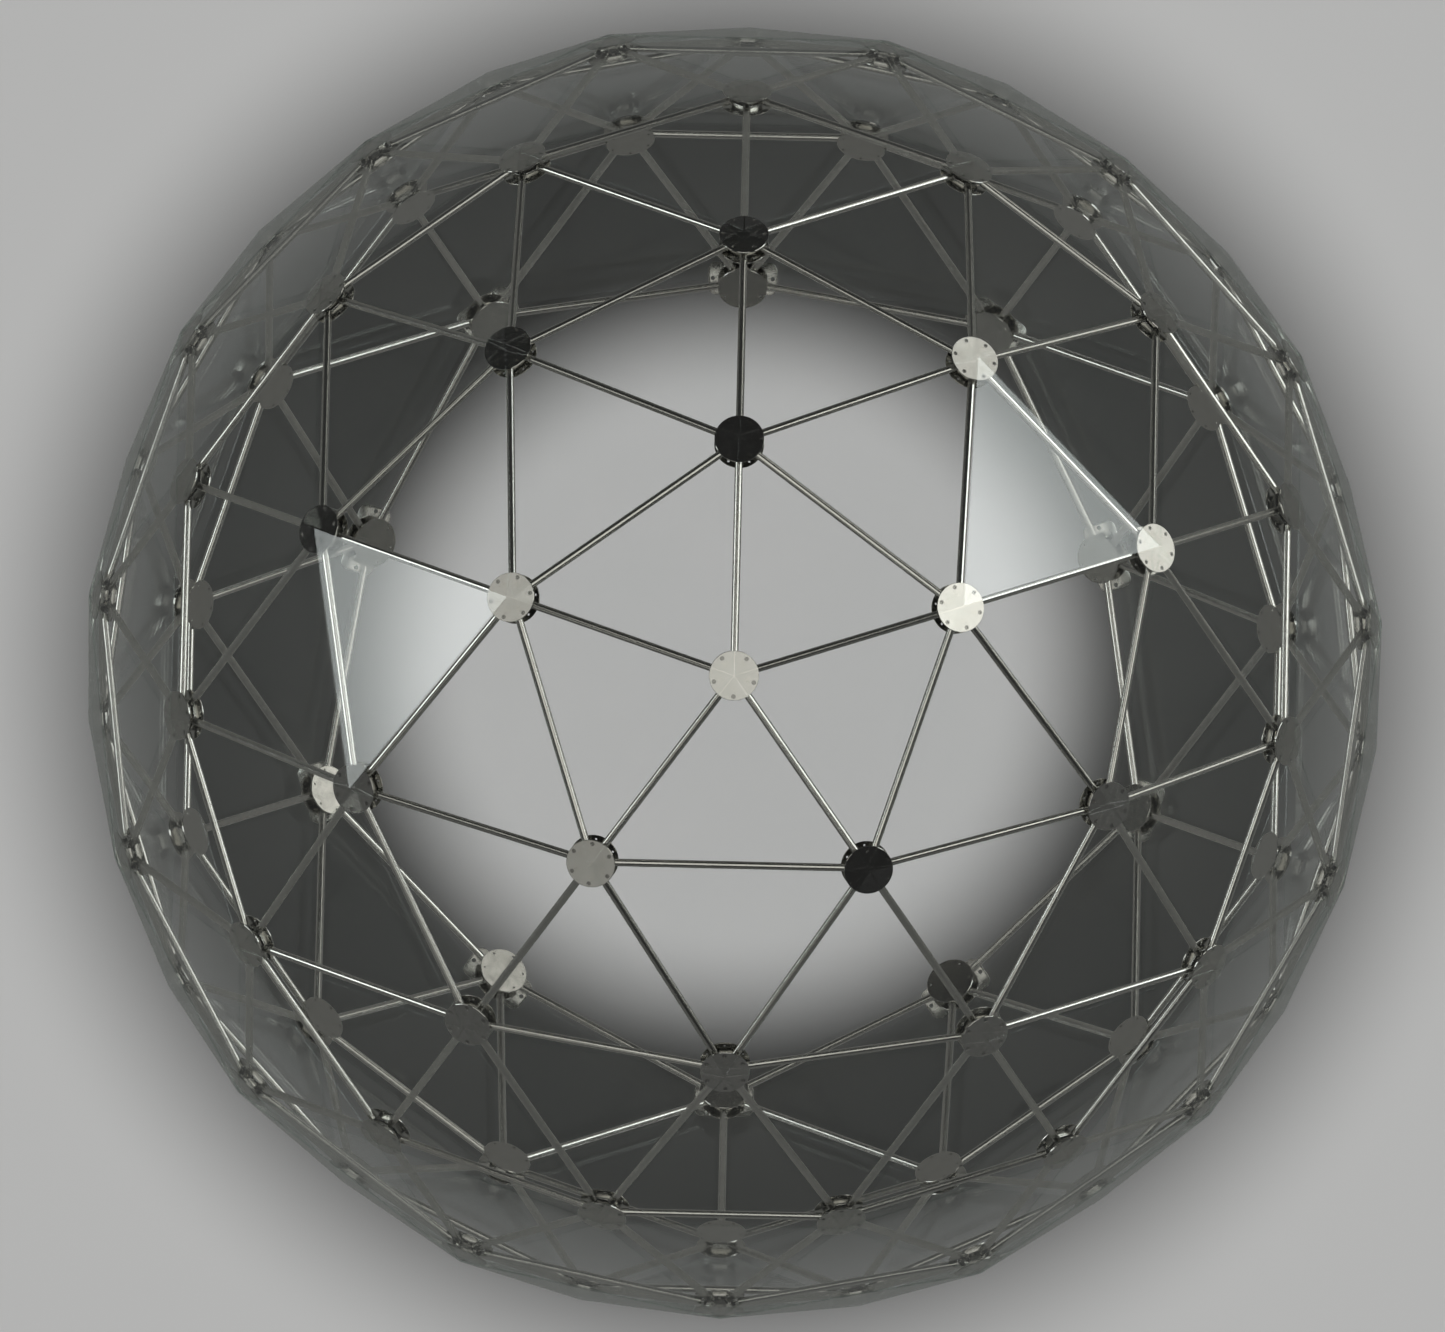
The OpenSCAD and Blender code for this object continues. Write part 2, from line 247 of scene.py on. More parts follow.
@dataclass(frozen=True)
class Sizes:
    """Sizes in metres, read from the boxes of the CAD nodes wherever a box gives them."""

    centre_z: float
    frame_r: float
    tube_d: float
    disc_d: float
    cover_t: float
    head_top: float
    head_low: float
    foot_low: float
    foot_high: float
    tube_wall: float = 2 * MM
    flange_step: float = 1 * MM
    head_flange_t: float = 3 * MM
    base_flange_t: float = 5 * MM
    block_r: float = 52 * MM
    tube_end_gap: float = 6 * MM
    screw_pcd: float = 134 * MM
    screw_d: float = 8 * MM
    screw_head_d: float = 14 * MM
    panel_t: float = 5 * MM
    joint_w: float = 3 * MM
    panel_clear: float = 1.5 * MM

    @classmethod
    def from_frame(cls) -> "Sizes":
        """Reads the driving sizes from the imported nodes' boxes."""
        hoop_low, hoop_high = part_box("hoop_ring_5")[0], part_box("hoop_ring_4")[1]
        centre = (hoop_low.z + hoop_high.z) / 2
        first_low, first_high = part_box("hoop_ring_1")
        first_polar = math.atan(2) / 3
        cover, head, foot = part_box("cover_disc_top"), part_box("hub_head_top"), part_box("hub_foot_top")
        return cls(
            centre_z=centre,
            frame_r=((first_low.z + first_high.z) / 2 - centre) / math.cos(first_polar),
            tube_d=first_high.z - first_low.z,
            disc_d=cover[1].x - cover[0].x,
            cover_t=cover[1].z - cover[0].z,
            head_top=head[1].z - centre,
            head_low=head[0].z - centre,
            foot_low=foot[0].z - centre,
            foot_high=foot[1].z - centre,
        )

    @property
    def face_r(self) -> float:
        """Distance from the sphere's centre to the face of a cover disc."""
        return self.head_top + self.cover_t


class Geodesic:
    """The unit directions of the hubs, ring by ring from the top, and what joins them."""

    reach = 0.5
    same = 1e-3

    def __init__(self) -> None:
        """Works out the rings, hoops, braces and panel bands."""
        polar = math.atan(2)
        top, bottom = Vector((0, 0, 1)), Vector((0, 0, -1))
        quarter = math.tau / 4
        up = [self.toward(polar, quarter + i * FIFTH) for i in range(6)]
        low = [self.toward(math.pi - polar, quarter + (i + 0.5) * FIFTH) for i in range(6)]
        self.corners = [top, bottom, *up, *low]
        arc, mid = self.arc, self.middle
        self.rings: list[list[Hub]] = [[top], *([] for _ in range(7))]
        for i in range(5):
            a, b, c, d = up[i], up[i + 1], low[i], low[i + 1]
            fifth = (
                (arc(top, a, 1),),
                (arc(top, a, 2), mid(top, a, b)),
                (a, arc(a, b, 1), arc(a, b, 2)),
                (arc(a, c, 1), mid(a, b, c), arc(b, c, 1)),
                (arc(a, c, 2), arc(b, c, 2), mid(c, d, b)),
                (c, arc(c, d, 1), arc(c, d, 2)),
                (arc(c, bottom, 1), mid(c, d, bottom)),
            )
            for ring, hubs in zip(self.rings[1:], fifth):
                ring += hubs
        self.hubs = [hub for ring in self.rings for hub in ring]
        self.hoops = [self.hoop(ring) for ring in self.rings]
        self.braces = [self.brace(a, b) for a, b in zip(self.rings, self.rings[1:])]
        self.bands = [
            self.triangles(hoop, below) + self.triangles(lower, above)
            for hoop, lower, above, below in zip(self.hoops, self.hoops[1:], self.rings, self.rings[1:])
        ]

    @staticmethod
    def toward(polar: float, azimuth: float) -> Hub:
        """The unit vector at an angle from the top and an angle round it."""
        across = math.sin(polar)
        return Vector((across * math.cos(azimuth), across * math.sin(azimuth), math.cos(polar)))

    @staticmethod
    def arc(a: Hub, b: Hub, thirds: int) -> Hub:
        """The point this many thirds of the way along the great circle from a to b."""
        return a.slerp(b, thirds / 3).normalized()

    @staticmethod
    def middle(a: Hub, b: Hub, c: Hub) -> Hub:
        """The direction of the middle of three hubs."""
        return (a + b + c).normalized()

    def near(self, a: Hub, b: Hub) -> bool:
        """True if a strut joins these two hubs."""
        return self.same < (a - b).length < self.reach

    def hoop(self, ring: list[Hub]) -> list[Pair]:
        """The struts that run round inside one ring."""
        return [(a, b) for i, a in enumerate(ring) for b in ring[i + 1 :] if self.near(a, b)]

    def brace(self, ring: list[Hub], below: list[Hub]) -> list[Pair]:
        """The struts from one ring down to the next."""
        return [(a, b) for a in ring for b in below if self.near(a, b)]

    def triangles(self, pairs: list[Pair], ring: list[Hub]) -> list[Triple]:
        """The triangles on these struts with their third corner in that ring."""
        return [(a, b, c) for a, b in pairs for c in ring if self.near(a, c) and self.near(b, c)]

    def ways(self, hub: Hub) -> int:
        """How many struts a whole sphere brings to this hub: five at an icosahedron's corner, else six."""
        return 5 if min((corner - hub).length for corner in self.corners) < self.same else 6

    def neighbours(self, hub: Hub) -> list[Hub]:
        """The hubs that struts join to this one."""
        return [other for other in self.hubs if self.near(hub, other)]


@dataclass
class Placer:
    """Turns places on the sphere into matrices in the object's frame."""

    sizes: Sizes
    net: Geodesic

    @staticmethod
    def outward(direction: Hub) -> Matrix:
        """The rotation that turns +Z to point along a direction, without a twist about it."""
        polar = math.acos(max(-1.0, min(1.0, direction.z)))
        azimuth = math.atan2(direction.y, direction.x)
        return spun(azimuth) @ Matrix.Rotation(polar, 4, "Y")

    def bearing(self, hub: Hub, other: Hub) -> float:
        """The angle round a hub's axis at which another direction lies."""
        seen = self.outward(hub).inverted() @ other
        return math.atan2(seen.y, seen.x)

    def on_hub(self, hub: Hub, radius: float) -> Matrix:
        """A hub's own frame at a distance from the sphere's centre, with +X towards its nearest neighbour."""
        around = self.net.neighbours(hub)
        least = min((other - hub).length for other in around)
        nearest = next(other for other in around if (other - hub).length < least + self.net.same)
        centre = Matrix.Translation((0, 0, self.sizes.centre_z))
        spin = spun(self.bearing(hub, nearest))
        return centre @ self.outward(hub) @ Matrix.Translation((0, 0, radius)) @ spin

    def on_strut(self, pair: Pair) -> Matrix:
        """A frame at the middle of a strut with +Z along it."""
        a, b = pair
        middle = (a + b) / 2 * self.sizes.frame_r + Vector((0, 0, self.sizes.centre_z))
        return Matrix.Translation(middle) @ self.outward((b - a).normalized())


# ---- shapes


def settle(piece: Piece) -> Piece:
    """Puts an object's place, turn and scale into its mesh."""
    only(piece)
    bpy.ops.object.transform_apply(location=True, rotation=True, scale=True)
    return piece


def turned(sides: int, profile: Profile, name: str) -> Piece:
    """Builds a closed solid up its axis: a disc is extruded and scaled from step to step of a profile.

    Args:
        sides: How many sides the outline has.
        profile: Radius and height of each step, in metres, from the bottom up.
        name: The new object's name.

    Returns:
        The solid, about the Z axis, with its first corner towards +X.
    """
    deselect()
    radius, height = profile[0]
    bpy.ops.mesh.primitive_circle_add(vertices=sides, radius=radius, fill_type="NGON")
    piece = bpy.context.object
    piece.name = name
    piece.matrix_world = Matrix.Translation((0, 0, height)) @ spun(-math.tau / 4)
    settle(piece)
    edit_all()
    for next_radius, next_height in profile[1:]:
        bpy.ops.mesh.extrude_region_move(TRANSFORM_OT_translate={"value": (0, 0, next_height - height)})
        bpy.ops.transform.resize(value=(next_radius / radius, next_radius / radius, 1))
        radius, height = next_radius, next_height
    face_out()
    return piece


def around(count: int, radius: float, first: float = 0.0) -> list[Matrix]:
    """Places on a circle about the Z axis, evenly apart.

    Args:
        count: How many places.
        radius: The circle's radius in metres.
        first: The first place's angle, as a share of the step between two.
    """
    return [spun((first + k) * math.tau / count) @ Matrix.Translation((radius, 0, 0)) for k in range(count)]


def finished(piece: Piece, finish: Material, angle: float = 35) -> Piece:
    """Dresses a template, smooths its round faces and stores where each point is on it.

    Args:
        piece: The template.
        finish: Its material, which may read the attribute "bench", the point's place on the template.
        angle: Edges sharper than this many degrees stay sharp.
    """
    if not piece.data.materials:
        piece.data.materials.append(finish)
    only(piece)
    bpy.ops.object.shade_smooth_by_angle(angle=math.radians(angle))
    places = piece.data.attributes.new("bench", "FLOAT_VECTOR", "POINT")
    places.data.foreach_set("vector", [c for v in piece.data.vertices for c in v.co])
    return piece


def scrap(templates: Iterable[Piece]) -> None:
    """Deletes templates that have been copied."""
    for template in templates:
        bpy.data.objects.remove(template, do_unlink=True)


@dataclass
class HubPart:
    """A part that every hub has, made once for five struts and once for six."""

    placer: Placer
    finish: Material
    single: str
    plural: str
    label: str
    sides: int = 96
    drill_sides: int = 24
    arris: float = 0.6 * MM
    corner_bevel: float = 1.2 * MM

    @property
    def sizes(self) -> Sizes:
        """The dome's sizes."""
        return self.placer.sizes

    @property
    def level(self) -> float:
        """How far from the sphere's centre the template's origin sits."""
        raise NotImplementedError

    def template(self, ways: int) -> Piece:
        """Models the part about the Z axis for a hub with this many struts."""
        raise NotImplementedError

    def seat_core(self, flange: Piece, core: Piece) -> None:
        """Bevels a core's upright corners and makes it one with its flange."""
        bevel_edges(core, lambda a, b: abs(a.z - b.z) > 2 * self.arris, self.corner_bevel, 3)
        apply_modifier(flange, "BOOLEAN", object=core, operation="UNION", solver="EXACT")
        scrap([core])

    def holes(self, piece: Piece, ways: int, profile: Profile) -> None:
        """Cuts the same turned hole midway between the struts.

        Args:
            piece: The part that gets the holes.
            ways: How many struts the hub joins.
            profile: Radius and height of each step of the hole.
        """
        drill = turned(self.drill_sides, profile, "drill")
        cut(piece, join(stamp(drill, around(ways, self.sizes.screw_pcd / 2, 0.5), "drills"), "drills"))
        scrap([drill])

    def build(self) -> None:
        """Copies the templates to every hub and hands over one piece for each ring."""
        net = self.placer.net
        templates = {ways: finished(self.template(ways), self.finish) for ways in (5, 6)}
        nodes = [self.single, *(f"{self.plural}_ring_{r}" for r in range(1, 7)), f"{self.plural}_base"]
        for ring, node in zip(net.rings, nodes):
            copies = [
                copy
                for hub in ring
                for copy in stamp(templates[net.ways(hub)], [self.placer.on_hub(hub, self.level)], self.label)
            ]
            hand_over(join(copies, f"{self.label}_{node.rsplit('_', 1)[-1]}"), node)
        scrap(templates.values())


@dataclass
class CoverDiscs(HubPart):
    """Polished discs that cover the hubs, with a bevelled rim and countersunk holes."""

    rim_bevel: float = 1 * MM
    arris: float = 0.3 * MM
    screw_clear: float = 0.25 * MM
    # How far the face stands over the undersides of the clear pads, so that the two don't coincide
    proud: float = 0.05 * MM

    @property
    def level(self) -> float:
        """The disc lies on the hub head's flange."""
        return self.sizes.head_top

    def template(self, ways: int) -> Piece:
        """Turns the disc and sinks its screw holes."""
        s, r, t = self.sizes, self.sizes.disc_d / 2, self.sizes.cover_t + self.proud
        bevel, arris = self.rim_bevel, self.arris
        disc = turned(self.sides, [(r - arris, 0), (r, arris), (r, t - bevel), (r - bevel, t)], "cover_disc")
        cone = (s.screw_head_d - s.screw_d) / 2
        wide, narrow = s.screw_head_d / 2 + self.screw_clear, s.screw_d / 2 + self.screw_clear
        self.holes(disc, ways, [(narrow, -OVER), (narrow, t - cone), (wide, t), (wide, t + OVER)])
        return disc


@dataclass
class HubHeads(HubPart):
    """Upper clamp blocks: a five or six sided core under a round flange."""

    @property
    def level(self) -> float:
        """The block's low face is the top of the groove."""
        return self.sizes.head_low

    def template(self, ways: int) -> Piece:
        """Joins the flange to its core and drills it for the cover screws."""
        s, r, arris = self.sizes, self.sizes.block_r, self.arris
        top, rim = s.head_top - s.head_low, s.disc_d / 2 - s.flange_step
        low = top - s.head_flange_t
        outline = [(rim - arris, low), (rim, low + arris), (rim, top - arris), (rim - arris, top)]
        flange = turned(self.sides, outline, "flange")
        self.seat_core(flange, turned(ways, [(r - arris, 0), (r, arris), (r, top - arris)], "core"))
        self.holes(flange, ways, [(s.screw_d / 2, low - OVER), (s.screw_d / 2, top + OVER)])
        return flange


@dataclass
class HubFeet(HubPart):
    """Lower clamp blocks: a round flange inside the dome with a plain hole between every two struts."""

    vent_d: float = 8 * MM

    @property
    def level(self) -> float:
        """The flange's inner face."""
        return self.sizes.foot_low

    def template(self, ways: int) -> Piece:
        """Joins the flange to its short core and drills it."""
        s, r, arris = self.sizes, self.sizes.block_r, self.arris
        top, rim, t = s.foot_high - s.foot_low, s.disc_d / 2, s.base_flange_t
        outline = [(rim - 2 * arris, 0), (rim, 2 * arris), (rim, t - arris), (rim - arris, t)]
        flange = turned(self.sides, outline, "inner_flange")
        self.seat_core(flange, turned(ways, [(r, t / 2), (r, top - arris), (r - arris, top)], "inner_core"))
        self.holes(flange, ways, [(self.vent_d / 2, -OVER), (self.vent_d / 2, t + OVER)])
        return flange


@dataclass
class CoverScrews:
    """Countersunk screws with hexagon sockets, flush with the cover discs."""

    placer: Placer
    finish: Material
    socket_d: float = 7 * MM
    socket_depth: float = 3.2 * MM
    socket_chamfer: float = 0.4 * MM
    land: float = 0.35 * MM
    sides: int = 18

    def template(self) -> Piece:
        """Turns a screw with its head up and cuts the socket."""
        s, land, chamfer = self.placer.sizes, self.land, self.socket_chamfer
        length, cone = s.head_flange_t + s.cover_t, (s.screw_head_d - s.screw_d) / 2
        head, shank, mouth = s.screw_head_d / 2, s.screw_d / 2, self.socket_d / 2
        outline = [(shank, 0), (shank, length - cone), (head, length - land), (head - land / 2, length)]
        hollow = [
            (mouth, length - self.socket_depth),
            (mouth, length - chamfer),
            (mouth + 2 * chamfer, length + chamfer),
        ]
        screw = turned(self.sides, outline, "screw")
        cut(screw, turned(6, hollow, "socket"))
        return screw

    @staticmethod
    def tightened(hub: int, screw: int) -> Matrix:
        """The turn at which a screw stopped, which looks random and is the same each time."""
        return spun(hub * hub + 1.7 * screw)

    def build(self) -> None:
        """Copies the screw to every hub, each turned as it happened to tighten."""
        net, s = self.placer.net, self.placer.sizes
        screw = finished(self.template(), self.finish)
        places = [
            self.placer.on_hub(hub, s.head_top - s.head_flange_t) @ place @ self.tightened(h, k)
            for h, hub in enumerate(net.hubs)
            for k, place in enumerate(around(net.ways(hub), s.screw_pcd / 2, 0.5))
        ]
        hand_over(join(stamp(screw, places, "screw"), "socket_screws"), "cover_screws")
        scrap([screw])


@dataclass
class Struts:
    """Straight polished tubes from hub to hub, cut square and deburred."""

    placer: Placer
    finish: Material
    sides: int = 24
    deburr: float = 0.5 * MM
    templates: dict[float, Piece] = field(default_factory=dict)

    def chord(self, pair: Pair) -> float:
        """The distance between two hubs as a share of the radius, the same number for equal struts."""
        return round((pair[1] - pair[0]).length, 4)

    @property
    def steepest(self) -> float:
        """The greatest angle between a strut and the plane of its hub."""
        return max(math.asin(self.chord(pair) / 2) for band in self.placer.net.braces for pair in band)

    def template(self, chord: float) -> Piece:
        """Draws one tube along Z, with its wall inwards and its mouths deburred."""
        s = self.placer.sizes
        start = (s.block_r + s.tube_end_gap) / math.cos(self.steepest)
        length = s.frame_r * chord - 2 * start
        deselect()
        bpy.ops.mesh.primitive_cylinder_add(
            vertices=self.sides, radius=s.tube_d / 2, depth=length, end_fill_type="NOTHING"
        )
        tube = bpy.context.object
        apply_modifier(tube, "SOLIDIFY", thickness=s.tube_wall, offset=-1, use_even_offset=True)
        mouth, outside = length / 2 - HAIR, (s.tube_d - s.tube_wall) / 2
        bevel_edges(
            tube, lambda *ends: all(abs(p.z) > mouth and p.xy.length > outside for p in ends), self.deburr, 1
        )
        return finished(tube, self.finish)

    def bundle(self, pairs: Sequence[Pair], node: str) -> None:
        """Copies the tubes of one hoop or one band of braces into place."""
        copies = []
        for pair in pairs:
            chord = self.chord(pair)
            if chord not in self.templates:
                self.templates[chord] = self.template(chord)
            copies += stamp(self.templates[chord], [self.placer.on_strut(pair)], "tube")
        hand_over(join(copies, f"tubes_{node}"), node)

    def build(self) -> None:
        """Makes every hoop and every band of braces."""
        net = self.placer.net
        for pairs, node in zip(net.hoops[1:], [*(f"hoop_ring_{r}" for r in range(1, 7)), "hoop_base"]):
            self.bundle(pairs, node)
        for pairs, node in zip(net.braces, band_nodes("braces")):
            self.bundle(pairs, node)
        scrap(self.templates.values())


@dataclass
class Panels:
    """Flat triangular panes with ground edges, one over every triangle of struts."""

    placer: Placer
    pane: Material
    edge: Material
    arris: float = 0.6 * MM
    corner: float = 2 * MM
    # A face whose normal points this nearly up or down is one of a pane's two flats
    flat: float = 0.99
    templates: dict[tuple[float, float], Piece] = field(default_factory=dict)

    @property
    def corner_r(self) -> float:
        """Distance from the sphere's centre to the corners of the panes' undersides."""
        s = self.placer.sizes
        upper = self.placer.net.bands[:3]
        steepest = max(math.acos(self.facing(triple).dot(triple[0])) for band in upper for triple in band)
        return s.face_r + s.disc_d / 2 * math.tan(steepest) + s.panel_clear

    @staticmethod
    def facing(triple: Triple) -> Vector:
        """The outward unit normal of three hubs' plane."""
        a, b, c = triple
        normal = (b - a).cross(c - a).normalized()
        return normal if normal.dot(a) > 0 else -normal

    @staticmethod
    def apex_first(triple: Triple) -> Triple:
        """Orders a triangle's corners so that its two equal sides meet at the first."""
        turns = [(triple[i], triple[i - 2], triple[i - 1]) for i in range(3)]
        return min(turns, key=lambda t: abs((t[0] - t[1]).length - (t[0] - t[2]).length))

    def template(self, base: float, height: float) -> Piece:
        """Cuts one pane: a triangle scaled to its base and height, thickened, its corners and edges ground.

        Args:
            base: The length between the two lower corners, joint to joint.
            height: From there to the top corner.

        Returns:
            The pane in the XY plane, its underside at zero and the middle of its corners at the origin.
        """
        s = self.placer.sizes
        deselect()
        bpy.ops.mesh.primitive_circle_add(vertices=3, radius=1, fill_type="NGON")
        pane = bpy.context.object
        side = math.hypot(base / 2, height)
        inner_r = base * height / (base + 2 * side)
        share = (inner_r - s.joint_w / 2) / inner_r
        # The triangle of radius one has the root of three for its base and three halves for its height.
        pane.scale = (base / math.sqrt(3) * share, height / 1.5 * share, 1)
        pane.location = (0, (inner_r - height / 3) * (1 - share), 0)
        settle(pane)
        edit_all()
        bpy.ops.mesh.extrude_region_move(TRANSFORM_OT_translate={"value": (0, 0, s.panel_t)})
        face_out()
        bevel_edges(pane, lambda a, b: abs(a.z - b.z) > s.panel_t / 2, self.corner, 3)
        bevel_edges(pane, lambda a, b: abs(a.z - b.z) < s.panel_t / 2, self.arris, 1)
        pane.data.materials.append(self.pane)
        pane.data.materials.append(self.edge)
        for face in pane.data.polygons:
            face.material_index = 0 if abs(face.normal.z) > self.flat else 1
        return finished(pane, self.pane)

    def place(self, triple: Triple) -> tuple[Matrix, float, float]:
        """Finds where a triangle's pane lies, and the base and height of its outline.

        Args:
            triple: The three hubs, apex first.

        Returns:
            The pane's matrix, its base and its height.
        """
        apex, left, right = (p * self.corner_r for p in triple)
        normal = self.facing(triple)
        foot = (left + right) / 2
        up = (apex - foot).normalized()
        middle = (apex + left + right) / 3 + Vector((0, 0, self.placer.sizes.centre_z))
        turn = Matrix((up.cross(normal), up, normal)).transposed().to_4x4()
        return Matrix.Translation(middle) @ turn, (right - left).length, (apex - foot).length

    def build(self) -> None:
        """Makes every band of panes."""
        for band, node in zip(self.placer.net.bands, band_nodes("panels")):
            copies = []
            for triple in band:
                place, base, height = self.place(self.apex_first(triple))
                kind = (round(base, 3), round(height, 3))
                if kind not in self.templates:
                    self.templates[kind] = self.template(base, height)
                copies += stamp(self.templates[kind], [place], "pane")
            hand_over(join(copies, f"panes_{node.split('_', 1)[1]}"), node)
        scrap(self.templates.values())


class Reach(Enum):
    """The two kinds of foot: which hub of the base ring is their first, and how long their plates are."""

    LOW = (1, 225 * MM)
    HIGH = (0, 194 * MM)


@dataclass
class Feet:
    """Ground plates with anchor holes, and the tube posts that carry the base ring's hubs."""

    placer: Placer
    plate_finish: Material
    post_finish: Material
    reach: Reach
    width: float = 107 * MM
    thick: float = 10 * MM
    corner: float = 26 * MM
    corner_flats: int = 10
    arris: float = 1 * MM
    anchor_inset: float = 15 * MM
    anchor_d: float = 13 * MM
    anchor_ease: float = 0.8 * MM
    anchor_sides: int = 28
    post_d: float = 42 * MM
    post_wall: float = 4 * MM
    post_drop: float = 35 * MM
    post_sides: int = 40

    @property
    def hubs(self) -> list[Hub]:
        """The hubs of the base ring that this kind of foot stands under."""
        first, _ = self.reach.value
        return self.placer.net.rings[-1][first::2]

    def frame(self, hub: Hub) -> Matrix:
        """The floor frame under the middle of a hub's cover disc, with +X outwards."""
        outwards = self.placer.sizes.face_r * hub.xy.length
        turn = spun(math.atan2(hub.y, hub.x))
        return turn @ Matrix.Translation((outwards, 0, 0))

    def plate(self) -> Piece:
        """Cuts a plate, rounds its corners, drills it and eases its edges."""
        _, length = self.reach.value
        deselect()
        bpy.ops.mesh.primitive_cube_add(size=1)
        plate = bpy.context.object
        plate.scale, plate.location = (self.width, length, self.thick), (0, 0, self.thick / 2)
        settle(plate)
        bevel_edges(plate, lambda a, b: abs(a.z - b.z) > HAIR, self.corner, self.corner_flats)
        bevel_edges(plate, lambda a, b: min(a.z, b.z) > self.thick - HAIR, self.arris, 2)
        hole, ease = self.anchor_d / 2, self.anchor_ease
        outline = [(hole, -OVER), (hole, self.thick - ease), (hole + 2 * ease, self.thick + ease)]
        drill = turned(self.anchor_sides, outline, "drill")
        at = length / 2 - self.anchor_inset
        drills = stamp(drill, [Matrix.Translation((0, side * at, 0)) for side in (-1, 1)], "drills")
        cut(plate, join(drills, "drills"))
        scrap([drill])
        return finished(plate, self.plate_finish)

    def post(self) -> Piece:
        """Cuts a tube to the slope of the disc that stands on it."""
        s, hub = self.placer.sizes, self.hubs[0]
        height = s.centre_z + s.face_r * hub.z
        deselect()
        bpy.ops.mesh.primitive_cylinder_add(
            vertices=self.post_sides, radius=self.post_d / 2, depth=height, end_fill_type="NOTHING"
        )
        post = bpy.context.object
        post.location = (self.post_drop * hub.z, 0, self.thick + height / 2)
        settle(post)
        apply_modifier(post, "SOLIDIFY", thickness=self.post_wall, offset=-1, use_even_offset=True)
        top, outward = Vector((0, 0, height)), Vector((hub.xy.length, 0, hub.z))
        only(post)
        edit_all()
        bpy.ops.mesh.bisect(plane_co=top, plane_no=outward, clear_inner=True)
        leave_edit()
        pick_edges(post, lambda *ends: all(abs((p - top).dot(outward)) < HAIR / 10 for p in ends))
        bpy.ops.mesh.bridge_edge_loops()
        leave_edit()
        return finished(post, self.post_finish)

    def build(self) -> None:
        """Copies a plate and a post to every foot of this kind."""
        places = [self.frame(hub) for hub in self.hubs]
        kind = self.reach.name.lower()
        for template, node in ((self.plate(), f"{kind}_foot_plates"), (self.post(), f"{kind}_foot_posts")):
            hand_over(join(stamp(template, places, "foot"), f"eased_{node}"), node)
            scrap([template])


# ---- finishes


def per_metre(pattern_mm: float) -> float:
    """The texture scale that repeats a pattern at a size in millimetres."""
    return 1 / (pattern_mm * MM)


@dataclass(frozen=True)
class Steel:
    """Stainless steel with the fine marks of how it was worked, read from each part's own bench frame.

    The marks are a stretched noise: a long side along the strokes and a short side across them.
    """

    name: str
    colour: str
    worn: str
    roughness: tuple[float, float]
    stroke_mm: tuple[float, float, float]
    cloud_mm: float
    relief: float
    relief_depth: float = 0.02 * MM
    # The product of the two noises stays mostly between these
    marks: tuple[float, float] = (0.1, 0.45)

    def surface(self, tree: Tree) -> Socket:
        """Lays the steel's nodes: cloudy polish in the gloss, strokes in the gloss and the relief."""
        place = add(tree, "Attribute", attribute_name="bench").outputs["Vector"]
        grain = {"Scale": tuple(per_metre(size) for size in self.stroke_mm)}
        stretch = add(tree, "Mapping", grain, {"Vector": place}).outputs["Vector"]
        noise = {"Scale": 1.0, "Detail": 3.0, "Roughness": 0.6}
        strokes = add(tree, "TexNoise", noise, {"Vector": stretch}).outputs["Fac"]
        noise = {"Scale": per_metre(self.cloud_mm), "Detail": 2.0}
        clouds = add(tree, "TexNoise", noise, {"Vector": place}).outputs["Fac"]
        mixed = add(tree, "Math", NONE, {0: strokes, 1: clouds}, operation="MULTIPLY")
        (least, most), (low, high) = self.marks, self.roughness
        ends = {"From Min": least, "From Max": most, "To Min": low, "To Max": high}
        gloss = add(tree, "MapRange", ends, {"Value": mixed.outputs["Value"]})
        tones = {"A": linear(self.colour), "B": linear(self.worn)}
        tone = add(tree, "Mix", tones, {"Factor": clouds}, data_type="RGBA")
        depth = {"Strength": self.relief, "Distance": self.relief_depth}
        relief = add(tree, "Bump", depth, {"Height": strokes})
        links = {
            "Base Color": tone.outputs["Result"],
            "Roughness": gloss.outputs["Result"],
            "Normal": relief.outputs["Normal"],
        }
        return add(tree, "BsdfPrincipled", {"Metallic": 1.0}, links).outputs["BSDF"]


